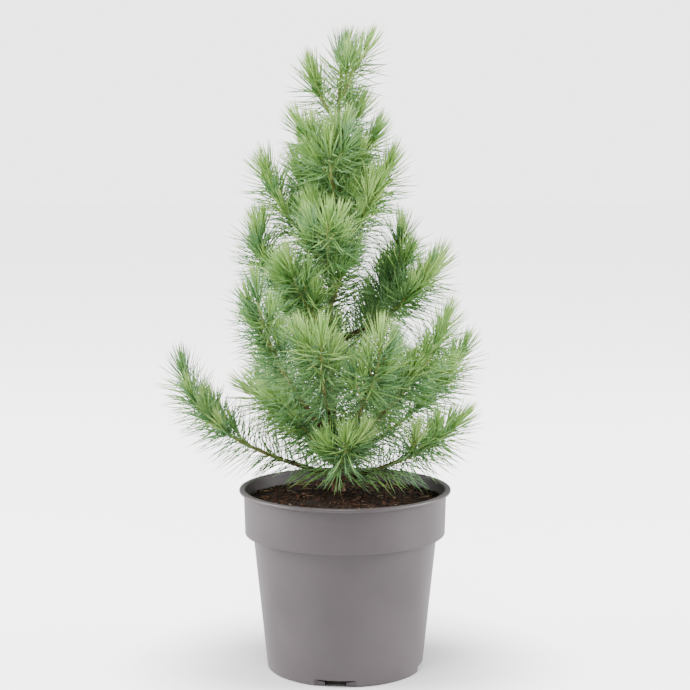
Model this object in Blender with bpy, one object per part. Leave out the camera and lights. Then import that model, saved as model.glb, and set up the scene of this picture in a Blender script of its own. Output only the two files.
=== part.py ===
# Potted silver crest stone pine: a young pine with its side shoots, in its nursery pot.
# Metres, +Z up. The origin is the centre of the pot's flat underside. The viewer stands at -Y.
# Azimuth 0 points along +X, 90 along +Y, away from the viewer. Rise is the angle above level.

import math
import random
from typing import NamedTuple

import bmesh
import bpy
import numpy as np
from mathutils import Vector
from mathutils.bvhtree import BVHTree
from mathutils.geometry import intersect_ray_tri

# The pot: heights from its underside, radii from its axis
POT_HEIGHT = 0.112
LIP_RADIUS = 0.0651
LIP_DEPTH = 0.0021
BAND_TOP_RADIUS = 0.0623
BAND_FOOT_RADIUS = 0.0616
BAND_FOOT_HEIGHT = 0.084
BODY_TOP_RADIUS = 0.0566
BASE_RADIUS = 0.048
BASE_ROUND = 0.0014
WALL = 0.0011
FLOOR = 0.002
POT_SIDES = 32

# The drain notches in the pot's foot
NOTCH_COUNT = 4
NOTCH_AZIMUTH = 263
NOTCH_HEIGHT = 0.0042
SLOT_WIDTH = 0.0128
SLOT_DEPTH = 0.0075
RECESS_WIDTH = 0.0062
RECESS_DEPTH = 0.0006
CUT_MARGIN = 0.003

# The potting soil, clear of the pot all round
GAP = 0.0003
SOIL_EDGE_HEIGHT = 0.1045
SOIL_TOP_HEIGHT = 0.1085
SOIL_ROUGHNESS = 0.0011
SOIL_SIDES = 28
SOIL_RINGS = 3
SOIL_SEED = 4
SOIL_LEVEL_RADIUS = 0.014
SOIL_BORDER = 0.001

# The trunk: places up it, with how far it leans out of the pot's axis there
TRUNK_STATIONS = (
    (0.000, -0.0040, 0.0060),
    (0.030, -0.0062, 0.0050),
    (0.068, -0.0080, 0.0035),
    (0.112, -0.0087, 0.0020),
    (0.152, -0.0084, 0.0010),
    (0.184, -0.0064, 0.0005),
    (0.220, -0.0043, 0.0004),
    (0.257, -0.0021, 0.0000),
    (0.289, 0.0040, -0.0005),
)
TRUNK_LENGTH = 0.257
TRUNK_FOOT_RADIUS = 0.0030
TRUNK_TIP_RADIUS = 0.0010
FLARE_RADIUS = 0.0017
FLARE_HEIGHT = 0.0042
FLARE_ROOTS = 4
ROOT_SWELLING = 0.4
TRUNK_RINGS = 24
RING_CROWDING = 1.25
TRUNK_SIDES = 8

# Side shoots
BEND_POWER = 2.5
SHOOT_STEPS = 40
FIRST_SEED = 11
BOUGH_SHARE = 0.26
BOUGH_LENGTH = 0.078
BOUGH_RADIUS = 0.0019
BOUGH_SIDES = 5
BOUGH_RINGS = 4
BOUGH_TIP_WIDTH = 1.1
FOOT_CLEARANCE = 1.4 * GAP
CORE_RADIUS = 0.00125
CORE_TIP_RADIUS = 0.0007
CORE_SIDES = 3
CORE_TWIST = 44
LINE_STEP = 0.003

# Needles, larger than life, each standing on one facet of its core
NEEDLE_SPACING = 0.0043
NEEDLE_LENGTH = 0.027
YOUNG_NEEDLE_LENGTH = 0.021
NEEDLE_LEAN_FOOT = 68
NEEDLE_LEAN_TIP = 44
LEAN_JITTER = 3.5
SIDE_JITTER = 26
LENGTH_JITTER = (0.92, 1.06)
ROOT_DEPTH = 0.7
NEEDLE_HALF_WIDTH = 0.8
SHORTER = (1.0, 0.78, 0.56, 0.4)
TUFT_SIDES = 4
TUFT_RINGS = 2
TUFT_SPACING = 0.0022
TUFT_RADIUS = 0.0013
TUFT_LEANS = (36, 21)
TUFT_WIDTHS = (0.75, 1.0, 0.95, 0.6)
TUFT_TWIST = 45
TUFT_NEEDLE_ROOT = 0.6
TUFT_LENGTHS = (0.95, 1.0)
SUNK = 0.004

# Side twigs within a mass
TWIG_EVERY = 0.052
TWIG_LENGTH = 0.026
TWIG_SPREAD = 52
TWIG_ROOM = 0.0085
TWIG_ROOT = 0.003
TWIG_FIRST_SHARE = 0.24
TWIG_LAST_SHARE = 0.74
TWIG_TURN = 14
TWIG_TIP_RISE = 74
TWIG_LENGTHS = (0.85, 1.15)
TWIG_SPREADS = (0.8, 1.25)
TWIG_WIDTH = 0.72
TWIG_TIP_WIDTH = 0.8

# Room kept between a needle and what isn't its own
CLEARANCE = 0.0006
NEEDLE_GAP = 0.00015
SOIL_CLEARANCE = 0.001
RIM_CLEARANCE = 0.0012
RIM_BORDER = 0.004
SAMPLES = np.linspace(0.12, 1.0, 8)
FREE = 2

COLOURS = {
    "pot": ((0.27, 0.245, 0.255), 0.5),
    "soil": ((0.030, 0.018, 0.012), 0.95),
    "bark": ((0.17, 0.105, 0.05), 0.85),
    "needles": ((0.17, 0.31, 0.13), 0.6),
}


class Shoot(NamedTuple):
    """A side shoot: where it leaves the trunk, its heading, its length and how it turns up."""

    name: str
    height: float
    azimuth: float
    turn: float
    length: float
    foot_rise: float
    tip_rise: float


# Heights are from the pot's underside
SHOOTS = (
    Shoot("low_right", 0.116, -27, 4, 0.088, 20, 50),
    Shoot("low_left", 0.118, 175, 12, 0.121, 17, 86),
    Shoot("low_front", 0.121, -82, 0, 0.050, 26, 62),
    Shoot("low_rear_right", 0.121, 62, -8, 0.098, 30, 72),
    Shoot("side_right", 0.125, 17, -8, 0.106, 32, 66),
    Shoot("low_rear_left", 0.126, 133, -6, 0.092, 26, 70),
    Shoot("inner_left", 0.130, -166, 0, 0.052, 46, 50),
    Shoot("big_right", 0.132, -30, 12, 0.113, 42, 74),
    Shoot("mid_left", 0.135, 160, 6, 0.064, 32, 34),
    Shoot("low_rear", 0.136, 98, 8, 0.106, 40, 78),
    Shoot("front_right", 0.138, -62, -4, 0.096, 38, 86),
    Shoot("big_left", 0.141, -142, 10, 0.116, 49, 84),
    Shoot("front", 0.146, -104, 16, 0.088, 44, 66),
    Shoot("rear_right", 0.168, 54, 0, 0.092, 44, 82),
    Shoot("rear_left", 0.176, 122, 4, 0.086, 42, 80),
    Shoot("left_upright", 0.199, 177, 3, 0.087, 47, 98),
    Shoot("right_upright", 0.186, 28, 6, 0.098, 46, 96),
    Shoot("right_arm", 0.201, 2, -4, 0.081, 27, 66),
    Shoot("front_left", 0.206, -134, 8, 0.058, 45, 74),
    Shoot("rear_high", 0.222, 86, 4, 0.074, 48, 80),
    Shoot("upper_front", 0.239, -97, 12, 0.054, 44, 60),
    Shoot("upper_left", 0.244, 159, 0, 0.076, 52, 74),
    Shoot("upper_right", 0.249, -15, -1, 0.072, 56, 73),
    Shoot("inner_upper_left", 0.266, 138, 0, 0.046, 57, 84),
    Shoot("upper_rear", 0.262, 74, -4, 0.058, 52, 76),
    Shoot("top_rear", 0.284, 108, 0, 0.040, 56, 72),
    Shoot("top_right", 0.290, 15, -1, 0.041, 60, 50),
    Shoot("top_front", 0.293, -100, 5, 0.034, 48, 71),
    Shoot("top_left", 0.299, -155, 0, 0.036, 58, 64),
)

# Short sprays that clothe the upper trunk, one after another round it
COLLAR_COUNT = 9
COLLAR_FIRST_HEIGHT = 0.226
COLLAR_LAST_HEIGHT = 0.350
COLLAR_FIRST_AZIMUTH = -60
COLLAR_STEP = 137.5
COLLAR_LENGTH = 0.027
COLLAR_FOOT_RISE = 58
COLLAR_TIP_RISE = 82
LEADER_LENGTH = 0.010


def clear_scene():
    for thing in list(bpy.data.objects):
        bpy.data.objects.remove(thing, do_unlink=True)


def material(name):
    found = bpy.data.materials.get(name)
    if found:
        return found
    colour, roughness = COLOURS[name]
    made = bpy.data.materials.new(name)
    made.use_nodes = True
    shader = made.node_tree.nodes["Principled BSDF"]
    shader.inputs["Base Color"].default_value = (*colour, 1)
    shader.inputs["Roughness"].default_value = roughness
    shader.inputs["Metallic"].default_value = 0
    return made


def add_object(name, bm, finish, smooth_angle=None):
    mesh = bpy.data.meshes.new(name)
    bmesh.ops.recalc_face_normals(bm, faces=bm.faces)
    bm.to_mesh(mesh)
    bm.free()
    mesh.materials.append(material(finish))
    made = bpy.data.objects.new(name, mesh)
    bpy.context.scene.collection.objects.link(made)
    if smooth_angle is not None:
        mesh.shade_smooth()
        mesh.set_sharp_from_angle(angle=math.radians(smooth_angle))
    return made


def lathe(outline, sides):
    """Turn an outline of (radius, height), which starts and ends on the axis, into a closed skin."""
    bm = bmesh.new()
    line = [bm.verts.new((radius, 0, height)) for radius, height in outline]
    edges = [bm.edges.new(pair) for pair in zip(line, line[1:])]
    bmesh.ops.spin(
        bm,
        geom=line + edges,
        cent=(0, 0, 0),
        axis=(0, 0, 1),
        angle=math.tau,
        steps=sides,
        use_duplicate=False,
    )
    bmesh.ops.remove_doubles(bm, verts=bm.verts, dist=1e-6)
    return bm


def arc(centre, radius, start, end, steps):
    """Points of an arc in the outline's plane, from angle to angle in degrees."""
    angles = (math.radians(start + (end - start) * i / steps) for i in range(steps + 1))
    return [(centre[0] + radius * math.cos(a), centre[1] + radius * math.sin(a)) for a in angles]


def body_radius(height):
    share = height / BAND_FOOT_HEIGHT
    return BASE_RADIUS + (BODY_TOP_RADIUS - BASE_RADIUS) * share


def band_radius(height):
    share = (height - BAND_FOOT_HEIGHT) / (POT_HEIGHT - BAND_FOOT_HEIGHT)
    return BAND_FOOT_RADIUS + (BAND_TOP_RADIUS - BAND_FOOT_RADIUS) * share


def inner_outline(inset, top, floor):
    """The pot's inside, moved in by inset, from its top down to the axis on the floor."""
    step = BAND_FOOT_HEIGHT + WALL + inset
    return [
        (band_radius(top) - WALL - inset, top),
        (band_radius(step) - WALL - inset, step),
        (body_radius(step - WALL) - WALL - inset, step - 2 * WALL),
        (body_radius(floor) - WALL - inset, floor + BASE_ROUND),
        (body_radius(floor) - WALL - inset - BASE_ROUND, floor),
        (0, floor),
    ]


def make_pot():
    lip = LIP_DEPTH / 2
    outline = [(0, 0), (BASE_RADIUS - BASE_ROUND, 0)]
    outline += arc((body_radius(BASE_ROUND) - BASE_ROUND, BASE_ROUND), BASE_ROUND, -50, 0, 2)
    outline += [(body_radius(BAND_FOOT_HEIGHT), BAND_FOOT_HEIGHT)]
    outline += arc((BAND_FOOT_RADIUS - WALL, BAND_FOOT_HEIGHT + WALL), WALL, -90, 0, 2)
    outline += [(band_radius(POT_HEIGHT - LIP_DEPTH), POT_HEIGHT - LIP_DEPTH)]
    outline += arc((LIP_RADIUS - lip, POT_HEIGHT - lip), lip, -90, 90, 3)
    inside = inner_outline(0, POT_HEIGHT - lip, FLOOR)
    outline += [(inside[0][0] + lip, POT_HEIGHT)]
    outline += inside
    pot = add_object("pot", lathe(outline, POT_SIDES), "pot", 30)
    for index in range(NOTCH_COUNT):
        cut_notch(pot, math.radians(NOTCH_AZIMUTH + index * 360 / NOTCH_COUNT))
    return pot


def cut_notch(pot, azimuth):
    """One drain notch: an open slot through the foot, with a shallow recess on each side."""
    slot = SLOT_WIDTH / 2
    wide = slot + RECESS_WIDTH
    outside = BASE_RADIUS + CUT_MARGIN
    deep = BASE_RADIUS - SLOT_DEPTH
    shallow = BASE_RADIUS * math.cos(wide / BASE_RADIUS) - RECESS_DEPTH
    plan = [
        (outside, -wide),
        (outside, wide),
        (shallow, wide),
        (shallow, slot),
        (deep, slot),
        (deep, -slot),
        (shallow, -slot),
        (shallow, -wide),
    ]
    bm = bmesh.new()
    floor = [bm.verts.new((x, y, -CUT_MARGIN)) for x, y in plan]
    sole = bm.faces.new(floor)
    grown = bmesh.ops.extrude_face_region(bm, geom=[sole])["geom"]
    risen = [part for part in grown if isinstance(part, bmesh.types.BMVert)]
    bmesh.ops.translate(bm, verts=risen, vec=(0, 0, NOTCH_HEIGHT + CUT_MARGIN))
    cutter = add_object("notch_cutter", bm, "pot")
    cutter.rotation_euler.z = azimuth
    join(pot, cutter, "DIFFERENCE")


def join(target, other, operation):
    """Apply one Boolean with a single object, and remove that object."""
    modifier = target.modifiers.new("cut", "BOOLEAN")
    modifier.operation = operation
    modifier.solver = "EXACT"
    modifier.object = other
    apply_modifiers(target)
    bpy.data.objects.remove(other, do_unlink=True)


def apply_modifiers(target):
    bpy.context.view_layer.update()
    graph = bpy.context.evaluated_depsgraph_get()
    finished = bpy.data.meshes.new_from_object(target.evaluated_get(graph))
    old = target.data
    target.modifiers.clear()
    target.data = finished
    finished.name = target.name
    bpy.data.meshes.remove(old)


def make_soil():
    """The root ball with its rough, slightly mounded top, level where the trunk stands."""
    rng = random.Random(SOIL_SEED)
    outline = inner_outline(GAP, SOIL_EDGE_HEIGHT, FLOOR + GAP)
    edge = outline[0][0]
    top = []
    for index in range(1, SOIL_RINGS + 1):
        share = index / SOIL_RINGS
        rise = (SOIL_TOP_HEIGHT - SOIL_EDGE_HEIGHT) * (1 - (1 - share) ** 2)
        top.append((edge * (1 - share), SOIL_EDGE_HEIGHT + rise))
    bm = lathe(list(reversed(top)) + outline, SOIL_SIDES)
    foot = Vector((*TRUNK_STATIONS[0][1:], 0))
    for vert in bm.verts:
        radius = vert.co.xy.length
        off_trunk = (vert.co.xy - foot.xy).length
        if vert.co.z > SOIL_EDGE_HEIGHT - SOIL_BORDER:
            if off_trunk < SOIL_LEVEL_RADIUS:
                vert.co.z = SOIL_TOP_HEIGHT
            elif radius < edge - SOIL_BORDER:
                vert.co.z += rng.uniform(-SOIL_ROUGHNESS, SOIL_ROUGHNESS * 0.5)
                vert.co.z = min(vert.co.z, SOIL_TOP_HEIGHT)
    return add_object("soil", bm, "soil")


def trunk_point(height):
    """The trunk's axis at a height above its foot: a smooth line through its stations."""
    stations = TRUNK_STATIONS
    last = len(stations) - 1
    i = next((k for k in range(last) if height <= stations[k + 1][0]), last - 1)
    before, a, b, after = (Vector(stations[max(0, min(last, i + k))][1:]) for k in (-1, 0, 1, 2))
    t = (height - stations[i][0]) / (stations[i + 1][0] - stations[i][0])
    bend = (b - before) * 0.5 * t * (1 - t) ** 2 - (after - a) * 0.5 * t * t * (1 - t)
    flat = a + (b - a) * (3 * t * t - 2 * t**3) + bend
    return Vector((flat.x, flat.y, SOIL_TOP_HEIGHT + GAP + height))


def trunk_radius(height):
    share = min(1, height / TRUNK_LENGTH)
    taper = TRUNK_FOOT_RADIUS + (TRUNK_TIP_RADIUS - TRUNK_FOOT_RADIUS) * math.sqrt(share)
    return taper + FLARE_RADIUS * math.exp(-height / FLARE_HEIGHT)


def corners_round(centre, azimuth, rise, radius, sides, spin=0.0, lobes=None):
    """The corners of one ring of a limb, across its heading."""
    across, up = frame_at(azimuth, rise)
    corners = []
    for k in range(sides):
        angle = spin + math.tau * k / sides
        size = radius if lobes is None else radius * lobes(angle)
        corners.append(centre + (across * math.cos(angle) + up * math.sin(angle)) * size)
    return corners


def limb_skin(rings):
    """A closed skin through a limb's rings, with flat ends."""
    bm = bmesh.new()
    rings = [[bm.verts.new(corner) for corner in corners] for corners in rings]
    sides = len(rings[0])
    for low, high in zip(rings, rings[1:]):
        for k in range(sides):
            near = (k + 1) % sides
            bm.faces.new((low[k], low[near], high[near], high[k]))
    bm.faces.new(list(reversed(rings[0])))
    bm.faces.new(rings[-1])
    return bm


def make_trunk():
    """The trunk, from its flat cut at soil level to its tip, with a few root swellings."""
    rings = []
    for index in range(TRUNK_RINGS + 1):
        height = TRUNK_LENGTH * (index / TRUNK_RINGS) ** RING_CROWDING
        swelling = ROOT_SWELLING * FLARE_RADIUS / TRUNK_FOOT_RADIUS * math.exp(-height / FLARE_HEIGHT)

        def lobes(angle, swelling=swelling):
            return 1 + swelling * math.cos(FLARE_ROOTS * angle)

        centre, radius = trunk_point(height), trunk_radius(height)
        rings.append(corners_round(centre, 0, math.pi / 2, radius, TRUNK_SIDES, 0.2, lobes))
    return add_object("trunk", limb_skin(rings), "bark", 40)


class Path:
    """A limb's axis: its points, with the heading at each, by distance from its foot."""

    def __init__(self, foot, azimuth, turn, length, foot_rise, tip_rise):
        self.length = length
        self.points = [foot.copy()]
        self.azimuths = [math.radians(azimuth)]
        self.rises = [math.radians(foot_rise)]
        for step in range(SHOOT_STEPS):
            share = (step + 0.5) / SHOOT_STEPS
            heading = math.radians(azimuth + turn * share)
            rise = math.radians(foot_rise + (tip_rise - foot_rise) * share**BEND_POWER)
            self.points.append(self.points[-1] + direction(heading, rise) * (length / SHOOT_STEPS))
            self.azimuths.append(heading)
            self.rises.append(rise)

    def at(self, distance):
        """The point, heading and rise at a distance along the axis."""
        place = max(0.0, min(1.0, distance / self.length)) * SHOOT_STEPS
        i = min(SHOOT_STEPS - 1, int(place))
        t = place - i
        point = self.points[i].lerp(self.points[i + 1], t)
        azimuth = self.azimuths[i] * (1 - t) + self.azimuths[i + 1] * t
        rise = self.rises[i] * (1 - t) + self.rises[i + 1] * t
        return point, azimuth, rise

    def line(self, start, end, step=LINE_STEP):
        """Points a few millimetres apart between two distances."""
        count = max(1, round((end - start) / step))
        return [self.at(start + (end - start) * i / count)[0] for i in range(count + 1)]


def direction(azimuth, rise):
    level = math.cos(rise)
    return Vector((level * math.cos(azimuth), level * math.sin(azimuth), math.sin(rise)))


def frame_at(azimuth, rise):
    """Two unit vectors across a limb that heads this way: one level, one upright."""
    level = Vector((-math.sin(azimuth), math.cos(azimuth), 0))
    return level, direction(azimuth, rise).cross(level)


def shoot_path(shoot):
    """A shoot's axis, starting just clear of the trunk's skin."""
    height = shoot.height - SOIL_TOP_HEIGHT - GAP
    out = trunk_radius(height - BOUGH_RADIUS) + FOOT_CLEARANCE
    foot = trunk_point(height) + direction(math.radians(shoot.azimuth), 0) * out
    return Path(foot, shoot.azimuth, shoot.turn, shoot.length, shoot.foot_rise, shoot.tip_rise)


class Core:
    """A slim stem within a mass, which needles stand out of."""

    def __init__(self, path, start, end, radius, tip_radius, foot_rise=None):
        self.path = path
        self.start = start
        self.end = end
        self.radius = radius
        self.tip_radius = tip_radius
        self.foot_rise = foot_rise

    def radius_at(self, distance):
        share = (distance - self.start) / (self.end - self.start)
        return self.radius + (self.tip_radius - self.radius) * share


class Mass:
    """One mass of needles: its main core, its side twigs and the space they keep to."""

    def __init__(self, name, main, seed):
        self.name = name
        self.cores = [main]
        self.rng = random.Random(seed)
        self.points = []
        self.sizes = []


def distances(points, starts, ends):
    """The distance of each point from each straight piece."""
    along = ends - starts
    reach = points[:, None, :] - starts[None, :, :]
    share = np.einsum("psk,sk->ps", reach, along) / np.maximum(1e-12, (along**2).sum(1))
    nearest = starts + np.clip(share, 0, 1)[:, :, None] * along
    return np.linalg.norm(points[:, None, :] - nearest, axis=2)


class Space:
    """Every limb and core, so that each needle can be held to the space of its own core."""

    def __init__(self):
        self.limbs = []
        self.cores = []

    def add_limb(self, line, sizes):
        for start, end, size in zip(line, line[1:], sizes):
            self.limbs.append((*start, *end, size))

    def add_core(self, mass_index, core_index, core):
        """Add a core's axis, but for the root of a side twig, which lies in its parent."""
        root = TWIG_ROOT if core_index else 0
        line = core.path.line(core.start + root, core.end + TUFT_SPACING)
        for start, end in zip(line, line[1:]):
            self.cores.append((*start, *end, mass_index, core_index))

    def settle(self):
        self.limb_table = np.array(self.limbs)
        self.core_table = np.array(self.cores)

    def from_limbs(self, points):
        table = self.limb_table
        return distances(points, table[:, 0:3], table[:, 3:6]) - table[:, 6]

    def from_cores(self, points, chosen):
        table = self.core_table[chosen]
        return distances(points, table[:, 0:3], table[:, 3:6]).min(1)

    def room_for_twig(self, mass_index, line):
        """Whether a twig's axis keeps well away from the limbs and the other masses."""
        points = np.array(line)
        others = self.core_table[:, 6] != mass_index
        if self.from_limbs(points).min() < TWIG_ROOM:
            return False
        if not all(above_ground(point) for point in points):
            return False
        return self.from_cores(points, others).min() > TWIG_ROOM

    def holds(self, mass_index, core_index, points, half):
        """Whether a needle stays nearer to its own core than to any other, and touches nothing."""
        if not all(above_ground(point) for point in points):
            return False
        if (self.from_limbs(points).min(1) < half + CLEARANCE).any():
            return False
        same_mass = self.core_table[:, 6] == mass_index
        same_core = same_mass & (self.core_table[:, 7] == core_index)
        mine = self.from_cores(points, same_core)
        if (self.from_cores(points, ~same_mass) - mine < 2 * half + CLEARANCE).any():
            return False
        mates = same_mass & ~same_core
        return not mates.any() or not (self.from_cores(points, mates) - mine < half).any()


def above_ground(point):
    """Whether a point is clear of the soil and of the pot's rim."""
    radius = math.hypot(point[0], point[1])
    if radius < BAND_FOOT_RADIUS - RIM_BORDER:
        return point[2] > SOIL_TOP_HEIGHT + SOIL_CLEARANCE
    if radius < LIP_RADIUS + RIM_BORDER:
        return point[2] > POT_HEIGHT + RIM_CLEARANCE
    return point[2] > SOIL_CLEARANCE


def crowded(mass, points, half):
    """Whether a needle would touch one that the mass already has."""
    if not mass.points:
        return False
    placed = np.concatenate(mass.points)
    sizes = np.concatenate(mass.sizes)
    apart = np.linalg.norm(points[:, None, :] - placed[None, :, :], axis=2)
    return bool((apart - half[:, None] - sizes[None, :] < NEEDLE_GAP).any())


def try_needle(space, mass, place, where, angle, radius, lean, length):
    """The tip of a needle that fits, shorter or turned where it must be, or nothing."""
    centre, azimuth, rise = where
    rng = mass.rng
    heading = direction(azimuth, rise)
    across, up = frame_at(azimuth, rise)
    root = centre + (across * math.cos(angle) + up * math.sin(angle)) * radius * ROOT_DEPTH
    for share in SHORTER:
        tilt = math.radians(lean + rng.uniform(-LEAN_JITTER, LEAN_JITTER))
        turned = angle + math.radians(rng.uniform(-SIDE_JITTER, SIDE_JITTER))
        outward = across * math.cos(turned) + up * math.sin(turned)
        way = heading * math.cos(tilt) + outward * math.sin(tilt)
        tip = root + way * (length * share * rng.uniform(*LENGTH_JITTER))
        points = np.array(root) + np.array(tip - root) * SAMPLES[:, None]
        half = radius * NEEDLE_HALF_WIDTH * (1 - SAMPLES)
        if not space.holds(*place, points, half):
            continue
        if crowded(mass, points[FREE:], half[FREE:]):
            continue
        mass.points.append(points[FREE:])
        mass.sizes.append(half[FREE:])
        return tip
    return None


class Spray:
    """A slim core, as rings of corners, with the needles that stand on its facets."""

    def __init__(self):
        self.rings = []
        self.tips = {}
        self.end_tip = None

    def skin(self):
        """The spray as one closed skin, with the needle that each face belongs to."""
        bm = bmesh.new()
        owners = []
        rings = [[bm.verts.new(corner) for corner in corners] for corners in self.rings]
        sides = len(rings[0])
        for index, (low, high) in enumerate(zip(rings, rings[1:])):
            for k in range(sides):
                near = (k + 1) % sides
                corners = (low[k], low[near], high[near], high[k])
                self.cover(bm, owners, corners, self.tips.get((index, k)), (index, k))
        self.cover(bm, owners, tuple(reversed(rings[0])), None, None)
        self.cover(bm, owners, tuple(rings[-1]), self.end_tip, None)
        return bm, owners

    def cover(self, bm, owners, corners, tip, key):
        """Close one facet, flat or drawn out into a needle."""
        if tip is None:
            made = [bm.faces.new(corners)]
            made = bmesh.ops.triangulate(bm, faces=made)["faces"]
            owners.extend([None] * len(made))
            return
        apex = bm.verts.new(tip)
        for k in range(len(corners)):
            bm.faces.new((corners[k], corners[(k + 1) % len(corners)], apex))
            owners.append(key)

    def settled_skin(self):
        """The skin, once every needle that cuts through another has been left out."""
        while True:
            bm, owners = self.skin()
            bm.faces.ensure_lookup_table()
            crossing = {}
            for a, b in BVHTree.FromBMesh(bm).overlap(BVHTree.FromBMesh(bm)):
                if a < b and owners[a] != owners[b] and faces_cross(bm.faces[a], bm.faces[b]):
                    for key in (owners[a], owners[b]):
                        if key is not None:
                            crossing[key] = crossing.get(key, 0) + 1
            if not crossing:
                return bm
            del self.tips[max(crossing, key=crossing.get)]
            bm.free()


def faces_cross(one, other):
    """Whether two triangles meet anywhere but at corners that they share."""
    shared = set(one.verts) & set(other.verts)
    if len(shared) > 1:
        return False
    for flat, crossed in ((one, other), (other, one)):
        corners = [vert.co for vert in flat.verts]
        for edge in crossed.edges:
            start, end = (vert for vert in edge.verts)
            if start in shared or end in shared:
                continue
            hit = intersect_ray_tri(*corners, end.co - start.co, start.co, True)
            if hit and (hit - start.co).length <= (end.co - start.co).length:
                return True
    return False


def spray_on_core(space, mass, mass_index, core_index):
    """A core's rings, and a needle on each facet that has room for one."""
    core = mass.cores[core_index]
    spray = Spray()
    span = core.end - core.start
    count = max(3, round(span / NEEDLE_SPACING))
    for index in range(count + 1):
        distance = core.start + span * index / count
        point, azimuth, rise = core.path.at(distance)
        if index == 0 and core.foot_rise is not None:
            rise = core.foot_rise
        spin = math.radians(CORE_TWIST * index)
        radius = core.radius_at(distance)
        spray.rings.append(corners_round(point, azimuth, rise, radius, CORE_SIDES, spin))
    first = 0 if core_index else 1
    for index in range(first, count):
        share = (index + 0.5) / count
        distance = core.start + span * share
        lean = NEEDLE_LEAN_FOOT + (NEEDLE_LEAN_TIP - NEEDLE_LEAN_FOOT) * share**1.5
        length = NEEDLE_LENGTH + (YOUNG_NEEDLE_LENGTH - NEEDLE_LENGTH) * share**2
        spin = math.radians(CORE_TWIST * (index + 0.5))
        place = (mass_index, core_index)
        radius = core.radius_at(distance)
        for k in range(CORE_SIDES):
            angle = spin + math.tau * (k + 0.5) / CORE_SIDES
            tip = try_needle(space, mass, place, core.path.at(distance), angle, radius, lean, length)
            if tip is not None:
                spray.tips[(index, k)] = tip
    return spray.settled_skin()


def spray_on_tip(space, mass, mass_index, core_index):
    """The tuft at a core's tip: a short thick core, sunk in, whose needles point forward."""
    core = mass.cores[core_index]
    point, azimuth, rise = core.path.at(core.end)
    heading = direction(azimuth, rise)
    spray = Spray()
    root_radius = TUFT_RADIUS * TUFT_NEEDLE_ROOT
    offsets = [-SUNK] + [TUFT_SPACING * k for k in range(TUFT_RINGS + 1)]
    for index, (offset, width) in enumerate(zip(offsets, TUFT_WIDTHS)):
        spin = math.radians(TUFT_TWIST * index)
        radius = TUFT_RADIUS * width
        centre = point + heading * offset
        spray.rings.append(corners_round(centre, azimuth, rise, radius, TUFT_SIDES, spin))
    for index, lean in enumerate(TUFT_LEANS, start=1):
        centre = point + heading * (offsets[index] + TUFT_SPACING / 2)
        spin = math.radians(TUFT_TWIST * (index + 0.5))
        length = YOUNG_NEEDLE_LENGTH * TUFT_LENGTHS[index - 1]
        for k in range(TUFT_SIDES):
            angle = spin + math.tau * (k + 0.5) / TUFT_SIDES
            place = (mass_index, core_index)
            where = (centre, azimuth, rise)
            tip = try_needle(space, mass, place, where, angle, root_radius, lean, length)
            if tip is not None:
                spray.tips[(index, k)] = tip
    spray.end_tip = point + heading * YOUNG_NEEDLE_LENGTH
    return spray.settled_skin()


def make_bough(shoot, path, end):
    """The bare foot of a shoot, from the trunk to where its needles begin."""
    rings = []
    radii = []
    for index in range(BOUGH_RINGS + 1):
        share = index / BOUGH_RINGS
        point, azimuth, rise = path.at(end * share)
        if index == 0:
            rise = 0.0
        radii.append(BOUGH_RADIUS + (CORE_RADIUS * BOUGH_TIP_WIDTH - BOUGH_RADIUS) * share)
        rings.append(corners_round(point, azimuth, rise, radii[-1], BOUGH_SIDES))
    add_object("bough_" + shoot.name, limb_skin(rings), "bark", 40)
    return path.line(0, end, end / BOUGH_RINGS), radii


def add_twigs(space, mass, mass_index):
    """Side twigs by rule: alternate sides of the main core, each where it has room."""
    main = mass.cores[0]
    span = main.end - main.start
    count = int(span / TWIG_EVERY)
    for index in range(count):
        step = (index + mass.rng.uniform(0.1, 0.6)) / max(1, count)
        share = TWIG_FIRST_SHARE + (TWIG_LAST_SHARE - TWIG_FIRST_SHARE) * step
        distance = main.start + span * share
        point, azimuth, rise = main.path.at(distance)
        side = 1 if index % 2 else -1
        length = TWIG_LENGTH * mass.rng.uniform(*TWIG_LENGTHS)
        heading = math.degrees(azimuth) + side * TWIG_SPREAD * mass.rng.uniform(*TWIG_SPREADS)
        foot_rise = min(60, math.degrees(rise) * 0.75 + 8)
        path = Path(point, heading, -side * TWIG_TURN, length, foot_rise, TWIG_TIP_RISE)
        if not space.room_for_twig(mass_index, path.line(length * 0.3, length)):
            continue
        twig = Core(path, 0.0, length, CORE_RADIUS * TWIG_WIDTH, CORE_TIP_RADIUS * TWIG_TIP_WIDTH)
        mass.cores.append(twig)
        space.add_core(mass_index, len(mass.cores) - 1, twig)
    space.settle()


def make_mass(space, mass, mass_index):
    """Fuse a mass's cores and tufts into one solid."""
    sprays = bpy.data.collections.new("sprays")
    bpy.context.scene.collection.children.link(sprays)
    tufts = [spray_on_tip(space, mass, mass_index, k) for k in range(len(mass.cores))]
    stem, *twigs = [spray_on_core(space, mass, mass_index, k) for k in range(len(mass.cores))]
    main = add_object(mass.name, stem, "needles")
    for part in tufts + twigs:
        spray = add_object("spray", part, "needles")
        bpy.context.scene.collection.objects.unlink(spray)
        sprays.objects.link(spray)
    modifier = main.modifiers.new("fuse", "BOOLEAN")
    modifier.operation = "UNION"
    modifier.solver = "EXACT"
    modifier.operand_type = "COLLECTION"
    modifier.collection = sprays
    apply_modifiers(main)
    for spray in list(sprays.objects):
        bpy.data.objects.remove(spray, do_unlink=True)
    bpy.data.collections.remove(sprays)
    keep_largest(main)
    return main


def shells(bm):
    """The faces of a mesh, sorted into shells that hang together by their edges."""
    found = []
    unseen = set(bm.faces)
    while unseen:
        stack = [unseen.pop()]
        shell = []
        while stack:
            face = stack.pop()
            shell.append(face)
            near = {other for edge in face.edges for other in edge.link_faces} & unseen
            unseen -= near
            stack.extend(near)
        found.append(shell)
    return sorted(found, key=len)


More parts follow.
